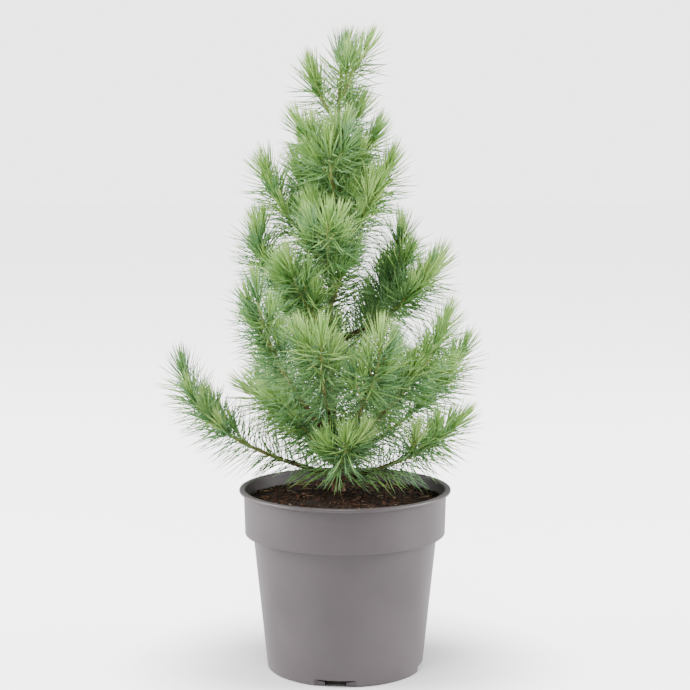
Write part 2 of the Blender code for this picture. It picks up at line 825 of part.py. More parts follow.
def keep_largest(target):
    """Drop any loose scrap, or sealed hollow, that the fusing left."""
    bm = bmesh.new()
    bm.from_mesh(target.data)
    for shell in shells(bm)[:-1]:
        bmesh.ops.delete(bm, geom=shell, context="FACES")
    bmesh.ops.triangulate(bm, faces=bm.faces)
    bm.to_mesh(target.data)
    bm.free()


def collar_shoots():
    """The short sprays round the upper trunk."""
    made = []
    for index in range(COLLAR_COUNT):
        share = index / (COLLAR_COUNT - 1)
        height = COLLAR_FIRST_HEIGHT + (COLLAR_LAST_HEIGHT - COLLAR_FIRST_HEIGHT) * share
        azimuth = COLLAR_FIRST_AZIMUTH + COLLAR_STEP * index
        name = f"collar_{index + 1:02d}"
        rises = (COLLAR_FOOT_RISE, COLLAR_TIP_RISE)
        made.append(Shoot(name, height, azimuth, 0, COLLAR_LENGTH, *rises))
    return made


def leader_path():
    """The leader's axis, which carries on from the trunk's tip."""
    low = trunk_point(TRUNK_LENGTH)
    high = trunk_point(TRUNK_LENGTH + LEADER_LENGTH)
    way = (high - low).normalized()
    azimuth = math.degrees(math.atan2(way.y, way.x))
    rise = math.degrees(math.asin(way.z))
    return Path(low + Vector((0, 0, GAP)), azimuth, 0, LEADER_LENGTH, rise, rise)


def main():
    clear_scene()
    make_pot()
    make_soil()
    make_trunk()
    space = Space()
    heights = [TRUNK_LENGTH * step / TRUNK_RINGS for step in range(TRUNK_RINGS + 1)]
    space.add_limb([trunk_point(h) for h in heights], [trunk_radius(h) for h in heights])
    masses = []
    for index, shoot in enumerate(SHOOTS + tuple(collar_shoots())):
        path = shoot_path(shoot)
        start, foot_rise = 0.0, 0.0
        if shoot.length >= BOUGH_LENGTH:
            end = shoot.length * BOUGH_SHARE
            space.add_limb(*make_bough(shoot, path, end))
            start, foot_rise = end + GAP, None
        core = Core(path, start, shoot.length, CORE_RADIUS, CORE_TIP_RADIUS, foot_rise)
        masses.append(Mass("needles_" + shoot.name, core, FIRST_SEED + index))
    path = leader_path()
    core = Core(path, 0.0, path.length, TRUNK_TIP_RADIUS, CORE_TIP_RADIUS, math.pi / 2)
    masses.append(Mass("needles_leader", core, FIRST_SEED - 1))
    for index, mass in enumerate(masses):
        space.add_core(index, 0, mass.cores[0])
    space.settle()
    for index, mass in enumerate(masses):
        add_twigs(space, mass, index)
    for index, mass in enumerate(masses):
        make_mass(space, mass, index)


main()
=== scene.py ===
# Potted silver crest stone pine: bark, twigs, needles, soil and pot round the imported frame.
# Metres, +Z up, origin at the centre of the pot's underside, viewer at -Y.

import itertools
import math
import random

import bmesh
import bpy
import numpy as np
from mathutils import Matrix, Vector, noise


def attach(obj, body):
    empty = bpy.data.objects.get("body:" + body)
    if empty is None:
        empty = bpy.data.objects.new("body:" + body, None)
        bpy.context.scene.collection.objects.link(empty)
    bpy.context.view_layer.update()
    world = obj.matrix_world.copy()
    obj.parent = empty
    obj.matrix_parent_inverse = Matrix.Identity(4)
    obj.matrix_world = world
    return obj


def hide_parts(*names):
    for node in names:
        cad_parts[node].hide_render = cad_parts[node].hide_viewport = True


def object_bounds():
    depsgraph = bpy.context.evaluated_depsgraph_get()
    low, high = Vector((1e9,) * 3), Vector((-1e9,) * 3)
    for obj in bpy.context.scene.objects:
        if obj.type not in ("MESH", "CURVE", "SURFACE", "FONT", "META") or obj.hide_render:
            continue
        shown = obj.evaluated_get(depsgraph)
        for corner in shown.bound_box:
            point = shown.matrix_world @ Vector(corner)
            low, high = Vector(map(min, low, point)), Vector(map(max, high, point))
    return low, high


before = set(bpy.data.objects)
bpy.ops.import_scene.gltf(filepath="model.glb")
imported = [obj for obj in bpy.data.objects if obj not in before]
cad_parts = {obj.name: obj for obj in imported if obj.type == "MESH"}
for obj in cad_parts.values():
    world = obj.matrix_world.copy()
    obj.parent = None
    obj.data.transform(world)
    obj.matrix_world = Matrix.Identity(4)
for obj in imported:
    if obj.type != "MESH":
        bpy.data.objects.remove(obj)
solidBox = [list(corner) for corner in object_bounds()]
massNodes = sorted(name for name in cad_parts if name.startswith("needles_"))
boughNodes = sorted(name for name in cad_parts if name.startswith("bough_"))
print("frame loaded with", len(massNodes), "masses and", len(boughNodes), "boughs")


# shader node groups

mottling = {
    "cloudDetail": 4,
    "grainDetail": 3,
    "cloudSpan": (0.34, 0.66),
}


def startGroup(name, inputs, outputs):
    group = bpy.data.node_groups.new(name, "ShaderNodeTree")
    for label, kind, value in inputs:
        socket = group.interface.new_socket(name=label, in_out="INPUT", socket_type=kind)
        socket.default_value = value
    for label, kind in outputs:
        group.interface.new_socket(name=label, in_out="OUTPUT", socket_type=kind)
    return group, group.nodes.new("NodeGroupInput"), group.nodes.new("NodeGroupOutput")


def makeMottleGroup():
    # two tones mixed by a soft cloud, with a finer grain for the relief
    group, given, result = startGroup(
        "cloudMottle",
        [
            ("Tone A", "NodeSocketColor", (0.3, 0.3, 0.3, 1)),
            ("Tone B", "NodeSocketColor", (0.5, 0.5, 0.5, 1)),
            ("Cloud Scale", "NodeSocketFloat", 60.0),
            ("Grain Scale", "NodeSocketFloat", 900.0),
            ("Stretch", "NodeSocketFloat", 1.0),
        ],
        [("Colour", "NodeSocketColor"), ("Grain", "NodeSocketFloat"), ("Cloud", "NodeSocketFloat")],
    )
    nodes, links = group.nodes, group.links
    place = nodes.new("ShaderNodeTexCoord")
    squeeze = nodes.new("ShaderNodeCombineXYZ")
    squeeze.inputs["X"].default_value = 1
    squeeze.inputs["Y"].default_value = 1
    links.new(given.outputs["Stretch"], squeeze.inputs["Z"])
    stretched = nodes.new("ShaderNodeVectorMath")
    stretched.operation = "MULTIPLY"
    links.new(place.outputs["Object"], stretched.inputs[0])
    links.new(squeeze.outputs["Vector"], stretched.inputs[1])
    cloud = nodes.new("ShaderNodeTexNoise")
    cloud.inputs["Detail"].default_value = mottling["cloudDetail"]
    links.new(stretched.outputs["Vector"], cloud.inputs["Vector"])
    links.new(given.outputs["Cloud Scale"], cloud.inputs["Scale"])
    spread = nodes.new("ShaderNodeMapRange")
    spread.inputs["From Min"].default_value = mottling["cloudSpan"][0]
    spread.inputs["From Max"].default_value = mottling["cloudSpan"][1]
    links.new(cloud.outputs["Fac"], spread.inputs["Value"])
    blend = nodes.new("ShaderNodeMix")
    blend.data_type = "RGBA"
    links.new(spread.outputs["Result"], blend.inputs["Factor"])
    links.new(given.outputs["Tone A"], blend.inputs["A"])
    links.new(given.outputs["Tone B"], blend.inputs["B"])
    grain = nodes.new("ShaderNodeTexNoise")
    grain.inputs["Detail"].default_value = mottling["grainDetail"]
    links.new(stretched.outputs["Vector"], grain.inputs["Vector"])
    links.new(given.outputs["Grain Scale"], grain.inputs["Scale"])
    links.new(blend.outputs["Result"], result.inputs["Colour"])
    links.new(grain.outputs["Fac"], result.inputs["Grain"])
    links.new(spread.outputs["Result"], result.inputs["Cloud"])
    return group


mottleGroup = makeMottleGroup()


def mottledMaterial(name, look):
    # a Principled shader fed by the mottle group, with its own tones, scales and relief
    made = bpy.data.materials.new(name)
    made.use_nodes = True
    nodes, links = made.node_tree.nodes, made.node_tree.links
    shader = nodes["Principled BSDF"]
    shader.inputs["Specular IOR Level"].default_value = look.get("gloss", 0.4)
    mottle = nodes.new("ShaderNodeGroup")
    mottle.node_tree = mottleGroup
    mottle.inputs["Tone A"].default_value = (*look["toneA"], 1)
    mottle.inputs["Tone B"].default_value = (*look["toneB"], 1)
    mottle.inputs["Cloud Scale"].default_value = look["cloud"]
    mottle.inputs["Grain Scale"].default_value = look["grain"]
    mottle.inputs["Stretch"].default_value = look.get("stretch", 1.0)
    links.new(mottle.outputs["Colour"], shader.inputs["Base Color"])
    rough = nodes.new("ShaderNodeMapRange")
    rough.inputs["To Min"].default_value = look["rough"][0]
    rough.inputs["To Max"].default_value = look["rough"][1]
    links.new(mottle.outputs["Cloud"], rough.inputs["Value"])
    links.new(rough.outputs["Result"], shader.inputs["Roughness"])
    if look.get("relief"):
        bump = nodes.new("ShaderNodeBump")
        bump.inputs["Strength"].default_value = look["relief"]
        bump.inputs["Distance"].default_value = look.get("depth", 0.0004)
        links.new(mottle.outputs["Grain"], bump.inputs["Height"])
        links.new(bump.outputs["Normal"], shader.inputs["Normal"])
    return made


# building helpers

class Heap:
    # points and faces of many small shapes, gathered for one mesh
    def __init__(self):
        self.points = []
        self.faces = []

    def add(self, points, faces):
        first = len(self.points)
        self.points.extend(points)
        self.faces.extend(tuple(first + corner for corner in face) for face in faces)

    def tube(self, rings):
        # a closed skin through rings of corners
        sides = len(rings[0])
        points = [corner for ring in rings for corner in ring]
        faces = []
        for step in range(len(rings) - 1):
            low, high = step * sides, (step + 1) * sides
            for side in range(sides):
                near = (side + 1) % sides
                faces.append((low + side, low + near, high + near, high + side))
        last = (len(rings) - 1) * sides
        faces.append(tuple(reversed(range(sides))))
        faces.append(tuple(last + side for side in range(sides)))
        self.add(points, faces)


def finishPiece(name, mesh, material, replaced, smoothAngle=None):
    mesh.materials.append(material)
    piece = bpy.data.objects.new(name, mesh)
    bpy.context.scene.collection.objects.link(piece)
    if smoothAngle is not None:
        mesh.shade_smooth()
        mesh.set_sharp_from_angle(angle=math.radians(smoothAngle))
    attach(piece, "root")
    if replaced:
        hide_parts(*replaced)
    print(name, "has", sum(len(face.vertices) - 2 for face in mesh.polygons), "triangles")


def heapPiece(name, heap, material, replaced, smoothAngle=None):
    mesh = bpy.data.meshes.new(name)
    mesh.from_pydata([tuple(point) for point in heap.points], [], heap.faces)
    finishPiece(name, mesh, material, replaced, smoothAngle)


def direction(azimuth, rise):
    level = math.cos(rise)
    return Vector((level * math.cos(azimuth), level * math.sin(azimuth), math.sin(rise)))


def ruggedness(place, octaves):
    return sum(noise.noise(place * scale) * weight for scale, weight in octaves)


def crossFrame(azimuth, rise):
    level = Vector((-math.sin(azimuth), math.cos(azimuth), 0))
    return level, direction(azimuth, rise).cross(level)


def ringAt(centre, azimuth, rise, radius, sides):
    across, up = crossFrame(azimuth, rise)
    angles = [math.tau * side / sides for side in range(sides)]
    return [centre + (across * math.cos(a) + up * math.sin(a)) * radius for a in angles]


# the pot

pot = {
    "height": 0.112,
    "lipRadius": 0.0651,
    "lipDepth": 0.0021,
    "bandTop": 0.0623,
    "bandFoot": 0.0616,
    "bandFootHeight": 0.084,
    "bodyTop": 0.0566,
    "base": 0.048,
    "round": 0.0014,
    "edge": 0.0007,
    "wall": 0.0011,
    "floor": 0.002,
    "gap": 0.0003,
    "stepTuck": 0.0001,
    "lipTuck": 0.0006,
    "bandMiddle": 0.012,
    "weld": 1e-6,
    "sides": 160,
    "smoothAngle": 32,
    "look": {
        "toneA": (0.074, 0.061, 0.065),
        "toneB": (0.092, 0.077, 0.082),
        "cloud": 26,
        "grain": 2600,
        "rough": (0.36, 0.48),
        "relief": 0.12,
        "depth": 0.0002,
        "gloss": 0.45,
    },
    "notch": {
        "count": 4,
        "azimuth": 263,
        "height": 0.0042,
        "slot": 0.0128,
        "deep": 0.0075,
        "overcut": 0.003,
    },
    "recess": {"width": 0.0062, "depth": 0.0006},
}


def arc(centre, radius, start, end, steps):
    angles = [math.radians(start + (end - start) * step / steps) for step in range(steps + 1)]
    return [(centre[0] + radius * math.cos(a), centre[1] + radius * math.sin(a)) for a in angles]


def bodyRadius(height):
    return pot["base"] + (pot["bodyTop"] - pot["base"]) * height / pot["bandFootHeight"]


def bandRadius(height):
    share = (height - pot["bandFootHeight"]) / (pot["height"] - pot["bandFootHeight"])
    return pot["bandFoot"] + (pot["bandTop"] - pot["bandFoot"]) * share


def lathe(outline, sides):
    bm = bmesh.new()
    line = [bm.verts.new((radius, 0, height)) for radius, height in outline]
    edges = [bm.edges.new(pair) for pair in zip(line, line[1:])]
    bmesh.ops.spin(bm, geom=line + edges, cent=(0, 0, 0), axis=(0, 0, 1), angle=math.tau, steps=sides)
    bmesh.ops.remove_doubles(bm, verts=bm.verts, dist=pot["weld"])
    bmesh.ops.recalc_face_normals(bm, faces=bm.faces)
    return bm


def potOutline():
    lip, wall, edge = pot["lipDepth"] / 2, pot["wall"], pot["edge"]
    foot = pot["bandFootHeight"]
    outline = [(0, 0), (pot["base"] - pot["round"], 0)]
    outline += arc((bodyRadius(pot["round"]) - pot["round"], pot["round"]), pot["round"], -60, 0, 5)
    outline += [(bodyRadius(foot * share), foot * share) for share in (0.25, 0.5, 0.75)]
    outline += [(bodyRadius(foot) - pot["stepTuck"], foot - edge)]
    outline += arc((pot["bodyTop"] + edge, foot - edge), edge, 180, 90, 4)
    outline += arc((pot["bandFoot"] - edge, foot + edge), edge, -90, 0, 5)
    lowLip = pot["height"] - pot["lipDepth"]
    middle = foot + pot["bandMiddle"]
    outline += [(bandRadius(middle), middle), (bandRadius(lowLip), lowLip - pot["lipTuck"])]
    outline += arc((pot["lipRadius"] - lip, pot["height"] - lip), lip, -100, 90, 9)
    inside = bandRadius(pot["height"] - lip) - wall
    outline += arc((inside + lip, pot["height"] - lip), lip, 90, 180, 4)
    step = foot + wall
    outline += [
        (bandRadius(step) - wall, step),
        (bodyRadius(foot) - wall, step - 2 * wall),
        (bodyRadius(pot["floor"]) - wall, pot["floor"] + pot["round"]),
        (bodyRadius(pot["floor"]) - wall - pot["round"], pot["floor"]),
        (0, pot["floor"]),
    ]
    return outline


def cutNotch(target, azimuth):
    # a slot with a shallow recess on either side of it, cut up through the base
    notch, recess = pot["notch"], pot["recess"]
    slot = notch["slot"] / 2
    wide = slot + recess["width"]
    below = notch["overcut"]
    outside, deep = pot["base"] + notch["overcut"], pot["base"] - notch["deep"]
    shallow = pot["base"] * math.cos(wide / pot["base"]) - recess["depth"]
    plan = [(outside, -wide), (outside, wide), (shallow, wide), (shallow, slot)]
    plan += [(deep, slot), (deep, -slot), (shallow, -slot), (shallow, -wide)]
    bm = bmesh.new()
    sole = bm.faces.new([bm.verts.new((x, y, -below)) for x, y in plan])
    grown = bmesh.ops.extrude_face_region(bm, geom=[sole])["geom"]
    risen = [part for part in grown if isinstance(part, bmesh.types.BMVert)]
    bmesh.ops.translate(bm, verts=risen, vec=(0, 0, notch["height"] + below))
    bmesh.ops.recalc_face_normals(bm, faces=bm.faces)
    mesh = bpy.data.meshes.new("notchCutter")
    bm.to_mesh(mesh)
    bm.free()
    cutter = bpy.data.objects.new("notchCutter", mesh)
    bpy.context.scene.collection.objects.link(cutter)
    cutter.rotation_euler.z = azimuth
    cut = target.modifiers.new("notch", "BOOLEAN")
    cut.operation = "DIFFERENCE"
    cut.solver = "EXACT"
    cut.object = cutter
    bpy.context.view_layer.update()
    graph = bpy.context.evaluated_depsgraph_get()
    cutMesh = bpy.data.meshes.new_from_object(target.evaluated_get(graph))
    target.modifiers.clear()
    uncut = target.data
    target.data = cutMesh
    bpy.data.objects.remove(cutter, do_unlink=True)
    bpy.data.meshes.remove(mesh)
    bpy.data.meshes.remove(uncut)


def makePot():
    bm = lathe(potOutline(), pot["sides"])
    mesh = bpy.data.meshes.new("potShell")
    bm.to_mesh(mesh)
    bm.free()
    shell = bpy.data.objects.new("potBlank", mesh)
    bpy.context.scene.collection.objects.link(shell)
    notch = pot["notch"]
    for index in range(notch["count"]):
        cutNotch(shell, math.radians(notch["azimuth"] + index * 360 / notch["count"]))
    finished = shell.data
    bpy.data.objects.remove(shell, do_unlink=True)
    finished.materials.clear()
    plastic = mottledMaterial("potPlastic", pot["look"])
    finishPiece("potShell", finished, plastic, ["pot"], pot["smoothAngle"])
    print("pot turned, with", notch["count"], "notches")


makePot()


# the potting soil

soil = {
    "edgeHeight": 0.1040,
    "topHeight": 0.1082,
    "crownPower": 2.4,
    "rough": 0.0011,
    "octaves": ((95, 0.9), (240, 0.55), (560, 0.3)),
    "octavePlane": 0.37,
    "rings": 64,
    "ringPower": 0.85,
    "spokes": 200,
    "smoothAngle": 60,
    "seed": 9,
    "chips": {
        "count": 520,
        "mix": (5, 5, 0.5),
        "lengths": (0.0015, 0.0060),
        "width": 0.42,
        "thickness": 0.22,
    },
    "crumbs": {
        "count": 3400,
        "mix": (8, 3, 0.35),
        "lengths": (0.0005, 0.0019),
        "width": 0.8,
        "thickness": 0.65,
    },
    "pieceTilt": 0.28,
    "pieceLift": 0.9,
    "pieceMargin": 0.0006,
    "leastPull": 0.55,
    "fibres": {
        "count": 110,
        "reddish": 0.7,
        "lengths": (0.004, 0.012),
        "bend": 1.6,
        "steps": 5,
        "radius": 0.00022,
        "lift": 0.0004,
        "startMargin": 0.006,
        "endMargin": 0.001,
    },
    "ground": {
        "toneA": (0.010, 0.006, 0.004),
        "toneB": (0.028, 0.016, 0.011),
        "cloud": 420,
        "grain": 1500,
        "rough": (0.85, 1.0),
        "relief": 0.9,
        "depth": 0.0006,
        "gloss": 0.2,
    },
    "chipTones": {
        "soilDark": ((0.012, 0.007, 0.005), (0.032, 0.018, 0.011)),
        "soilReddish": ((0.050, 0.021, 0.011), (0.095, 0.042, 0.022)),
        "soilPale": ((0.17, 0.11, 0.065), (0.27, 0.19, 0.12)),
    },
    "chipCloud": 260,
    "chipRelief": 0.5,
}


def soilEdge():
    return bandRadius(soil["edgeHeight"]) - pot["wall"] - pot["gap"]


def soilHeight(x, y):
    share = min(1.0, math.hypot(x, y) / soilEdge())
    rise = (soil["topHeight"] - soil["edgeHeight"]) * (1 - share ** soil["crownPower"])
    bumps = ruggedness(Vector((x, y, soil["octavePlane"])), soil["octaves"])
    return soil["edgeHeight"] + rise + soil["rough"] * bumps


def rootBallSides():
    # the root ball under the surface, a hair inside the pot's wall
    inset = pot["wall"] + pot["gap"]
    step, low = pot["bandFootHeight"], pot["floor"] + pot["gap"]
    return [
        (bandRadius(step) - inset, step + 2 * pot["wall"]),
        (bodyRadius(step) - 2 * inset, step - 2 * pot["wall"]),
        (bodyRadius(low) - inset - pot["round"], low),
    ]


def makeSoilBed():
    spokes, rings = soil["spokes"], soil["rings"]
    points = [Vector((0, 0, soilHeight(0, 0)))]
    faces = []
    for ring in range(1, rings + 1):
        radius = soilEdge() * (ring / rings) ** soil["ringPower"]
        for spoke in range(spokes):
            angle = math.tau * (spoke + 0.5 * (ring % 2)) / spokes
            x, y = radius * math.cos(angle), radius * math.sin(angle)
            points.append(Vector((x, y, soilHeight(x, y))))
    for spoke in range(spokes):
        faces.append((0, 1 + spoke, 1 + (spoke + 1) % spokes))
    for ring in range(rings - 1):
        low, high = 1 + ring * spokes, 1 + (ring + 1) * spokes
        for spoke in range(spokes):
            near = (spoke + 1) % spokes
            faces.append((low + spoke, high + spoke, high + near, low + near))
    above = 1 + (rings - 1) * spokes
    for radius, height in rootBallSides():
        under = len(points)
        for spoke in range(spokes):
            angle = math.tau * (spoke + 0.5 * (rings % 2)) / spokes
            points.append(Vector((radius * math.cos(angle), radius * math.sin(angle), height)))
            near = (spoke + 1) % spokes
            faces.append((above + spoke, under + spoke, under + near, above + near))
        above = under
    faces.append(tuple(above + spoke for spoke in reversed(range(spokes))))
    heap = Heap()
    heap.add(points, faces)
    ground = mottledMaterial("pottingSoil", soil["ground"])
    heapPiece("soilBed", heap, ground, ["soil"], soil["smoothAngle"])


def scatterSoil():
    rng = random.Random(soil["seed"])
    heaps = {name: Heap() for name in soil["chipTones"]}
    for kind in (soil["chips"], soil["crumbs"]):
        for _ in range(kind["count"]):
            name = rng.choices(list(heaps), kind["mix"])[0]
            addChip(heaps[name], rng, kind)
    fibres = soil["fibres"]
    for _ in range(fibres["count"]):
        name = "soilReddish" if rng.random() < fibres["reddish"] else "soilPale"
        addFibre(heaps[name], rng, fibres)
    shared = dict(soil["ground"], cloud=soil["chipCloud"], relief=soil["chipRelief"])
    for name, (toneA, toneB) in soil["chipTones"].items():
        look = dict(shared, toneA=toneA, toneB=toneB)
        heapPiece(name, heaps[name], mottledMaterial(name, look), ["soil"])


def soilSpot(rng, margin):
    radius = (soilEdge() - margin) * math.sqrt(rng.random())
    angle = rng.uniform(0, math.tau)
    x, y = radius * math.cos(angle), radius * math.sin(angle)
    return Vector((x, y, soilHeight(x, y)))


def addChip(heap, rng, kind):
    # an irregular splinter or crumb: a box with pulled corners, lying in the surface
    low, high = kind["lengths"]
    length = low + (high - low) * rng.random() ** 2
    wide = length * kind["width"] * rng.uniform(0.5, 1) / 2
    thick = length * kind["thickness"] * rng.uniform(0.5, 1) / 2
    sizes = (length / 2, wide, thick)
    heading, tilt = rng.uniform(0, math.tau), rng.gauss(0, soil["pieceTilt"])
    along = direction(heading, tilt)
    side, up = crossFrame(heading, tilt)
    spot = soilSpot(rng, length / 2 + soil["pieceMargin"])
    spot = spot + Vector((0, 0, thick * rng.uniform(0, soil["pieceLift"])))
    points = []
    for corner in itertools.product((-1, 1), repeat=3):
        pull = [rng.uniform(soil["leastPull"], 1.0) for _ in corner]
        x, y, z = (way * size * share for way, size, share in zip(corner, sizes, pull))
        points.append(spot + along * x + side * y + up * z)
    faces = [(0, 1, 3, 2), (4, 6, 7, 5), (0, 4, 5, 1), (2, 3, 7, 6), (0, 2, 6, 4), (1, 5, 7, 3)]
    heap.add(points, faces)


def addFibre(heap, rng, fibres):
    spot = soilSpot(rng, fibres["startMargin"])
    heading, length = rng.uniform(0, math.tau), rng.uniform(*fibres["lengths"])
    bend = rng.uniform(-fibres["bend"], fibres["bend"])
    steps = fibres["steps"]
    rings = []
    for step in range(steps + 1):
        turned = heading + bend * step / steps
        spot = spot + direction(turned, 0) * (length / steps)
        if spot.xy.length > soilEdge() - fibres["endMargin"]:
            break
        spot.z = soilHeight(spot.x, spot.y) + fibres["lift"]
        rings.append(ringAt(spot, turned, 0, fibres["radius"], 3))
    if len(rings) > 1:
        heap.tube(rings)


makeSoilBed()
scatterSoil()
print("pot filled with soil")


# the trunk and the boughs, on the source's lines

trunk = {
    "footHeight": 0.1088,
    "length": 0.257,
    "stations": (  # height above the trunk's foot, then x and y
        (0.000, -0.0040, 0.0060),
        (0.030, -0.0062, 0.0050),
        (0.068, -0.0080, 0.0035),
        (0.112, -0.0087, 0.0020),
        (0.152, -0.0084, 0.0010),
        (0.184, -0.0064, 0.0005),
        (0.220, -0.0043, 0.0004),
        (0.257, -0.0021, 0.0000),
        (0.289, 0.0040, -0.0005),
    ),
    "footRadius": 0.0030,
    "tipRadius": 0.0010,
    "flareRadius": 0.0017,
    "flareHeight": 0.0042,
    "rings": 240,
    "sides": 18,
    "relief": 0.16,
    "reliefLoss": 0.5,
    "plates": ((900, 0.65), (2100, 0.35)),
    "plateSquash": 0.42,
    "smoothAngle": 70,
    "bark": {
        "toneA": (0.085, 0.050, 0.026),
        "toneB": (0.190, 0.120, 0.062),
        "cloud": 330,
        "grain": 1300,
        "stretch": 0.35,
        "rough": (0.75, 0.95),
        "relief": 0.7,
        "gloss": 0.25,
    },
    "green": {
        "toneA": (0.300, 0.320, 0.100),
        "toneB": (0.430, 0.500, 0.170),
        "cloud": 260,
        "grain": 1300,
        "stretch": 0.4,
        "rough": (0.55, 0.75),
        "relief": 0.5,
        "gloss": 0.3,
    },
    "greenFrom": 0.085,
    "stemTones": ((0.20, 0.17, 0.06), (0.32, 0.32, 0.11)),
}


def trunkPoint(height):
    # a smooth curve through the stations
    stations = trunk["stations"]
    last = len(stations) - 1
    i = next((k for k in range(last) if height <= stations[k + 1][0]), last - 1)
    before, a, b, after = (Vector(stations[max(0, min(last, i + k))][1:]) for k in (-1, 0, 1, 2))
    t = (height - stations[i][0]) / (stations[i + 1][0] - stations[i][0])
    bend = (b - before) * 0.5 * t * (1 - t) ** 2 - (after - a) * 0.5 * t * t * (1 - t)
    flat = a + (b - a) * (3 * t * t - 2 * t**3) + bend
    return Vector((flat.x, flat.y, trunk["footHeight"] + height))


def trunkRadius(height):
    share = min(1, max(0, height) / trunk["length"])
    taper = trunk["footRadius"] + (trunk["tipRadius"] - trunk["footRadius"]) * math.sqrt(share)
    return taper + trunk["flareRadius"] * math.exp(-height / trunk["flareHeight"])


def barkRing(centre, azimuth, rise, radius, sides, relief):
    # a ring whose corners are pushed in and out by the bark's plates
    pushed = []
    for corner in ringAt(centre, azimuth, rise, radius, sides):
        place = Vector((corner.x, corner.y, corner.z * trunk["plateSquash"]))
        push = ruggedness(place, trunk["plates"])
        pushed.append(centre + (corner - centre) * (1 + relief * push))
    return pushed


def makeTrunk():
    lower, upper = Heap(), Heap()
    split = trunk["greenFrom"]
    for heap, start, end in ((lower, 0.0, split), (upper, split, trunk["length"])):
        count = round(trunk["rings"] * (end - start) / trunk["length"])
        rings = []
        for step in range(count + 1):
            height = start + (end - start) * step / count
            relief = trunk["relief"] * (1 - trunk["reliefLoss"] * height / trunk["length"])
            point, radius = trunkPoint(height), trunkRadius(height)
            rings.append(barkRing(point, 0, math.pi / 2, radius, trunk["sides"], relief))
        heap.tube(rings)
    barkPiece("trunkBark", lower, trunk["bark"], ["trunk"])
    barkPiece("trunkGreen", upper, trunk["green"], ["trunk"])


def barkPiece(name, heap, look, replaced):
    heapPiece(name, heap, mottledMaterial(name, look), replaced, trunk["smoothAngle"])


makeTrunk()
print("trunk grown")


# side shoots: height above the pot's underside, azimuth, turn, length, rises at foot and tip

shoots = {
    "low_right": (0.116, -27, 4, 0.088, 20, 50),
    "low_left": (0.118, 175, 12, 0.121, 17, 86),
    "low_front": (0.121, -82, 0, 0.050, 26, 62),
    "low_rear_right": (0.121, 62, -8, 0.098, 30, 72),
    "side_right": (0.125, 17, -8, 0.106, 32, 66),
    "low_rear_left": (0.126, 133, -6, 0.092, 26, 70),
    "inner_left": (0.130, -166, 0, 0.052, 46, 50),
    "big_right": (0.132, -30, 12, 0.113, 42, 74),
    "mid_left": (0.135, 160, 6, 0.064, 32, 34),
    "low_rear": (0.136, 98, 8, 0.106, 40, 78),
    "front_right": (0.138, -62, -4, 0.096, 38, 86),
    "big_left": (0.141, -142, 10, 0.116, 49, 84),
    "front": (0.146, -104, 16, 0.088, 44, 66),
    "rear_right": (0.168, 54, 0, 0.092, 44, 82),
    "rear_left": (0.176, 122, 4, 0.086, 42, 80),
    "left_upright": (0.199, 177, 3, 0.087, 47, 98),
    "right_upright": (0.186, 28, 6, 0.098, 46, 96),
    "right_arm": (0.201, 2, -4, 0.081, 27, 66),
    "front_left": (0.206, -134, 8, 0.058, 45, 74),
    "rear_high": (0.222, 86, 4, 0.074, 48, 80),
    "upper_front": (0.239, -97, 12, 0.054, 44, 60),
    "upper_left": (0.244, 159, 0, 0.076, 52, 74),
    "upper_right": (0.249, -15, -1, 0.072, 56, 73),
    "inner_upper_left": (0.266, 138, 0, 0.046, 57, 84),
    "upper_rear": (0.262, 74, -4, 0.058, 52, 76),
    "top_rear": (0.284, 108, 0, 0.040, 56, 72),
    "top_right": (0.290, 15, -1, 0.041, 60, 50),
    "top_front": (0.293, -100, 5, 0.034, 48, 71),
    "top_left": (0.299, -155, 0, 0.036, 58, 64),
}

collar = {
    "count": 9,
    "heights": (0.226, 0.350),
    "azimuth": -60,
    "step": 137.5,
    "length": 0.027,
    "rises": (58, 82),
}

growth = {
    "firstSeed": 11,
    "steps": 40,
    "bend": 2.5,
    "footGaps": 1.4,
    "boughShare": 0.26,
    "boughLength": 0.078,
    "boughRadii": (0.0019, 0.001375),
    "boughSides": 12,
    "boughSpacing": 0.0008,
    "stemRadii": (0.00125, 0.0006),
    "stemSides": 8,
    "stemSpacing": 0.0012,
    "stemRelief": 0.18,
    "brownShare": 0.34,
    "brownOverlap": 0.0001,
    "needleStart": 0.0015,
    "thinFrom": 0.235,
    "thinDensity": 0.66,
    "footNeedles": {"from": 0.12, "past": 0.01, "shortness": 0.86, "density": 0.75},
}

# alternate side twigs, a few long ones and then many fine ones
twigs = {
    "kinds": (
        {"every": 0.052, "length": 0.026, "radius": 0.0009},
        {"every": 0.0115, "length": 0.019, "radius": 0.0006},
    ),
    "first": 0.24,
    "span": 0.5,
    "placeJitter": (0.1, 0.6),
    "lengthJitter": (0.85, 1.15),
    "spread": 52,
    "spreadJitter": (0.8, 1.25),
    "riseShare": 0.75,
    "riseExtra": 8,
    "steepestFoot": 60,
    "tipRise": 74,
    "turn": 14,
    "taper": 0.6,
    "sides": 5,
    "spacing": 0.0022,
    "bareShare": 0.12,
    "shortness": 0.86,
    "density": 0.85,
}

leader = {
    "length": 0.010,
    "tipRadius": 0.0006,
    "density": 1.5,
    "needlesFrom": 0.012,
    "needleShortness": 0.98,
    "densities": (0.35, 0.75),
    "tintShares": (0.3, 0.6),
    "tuftFrom": 0.93,
    "slopeStep": 0.002,
}


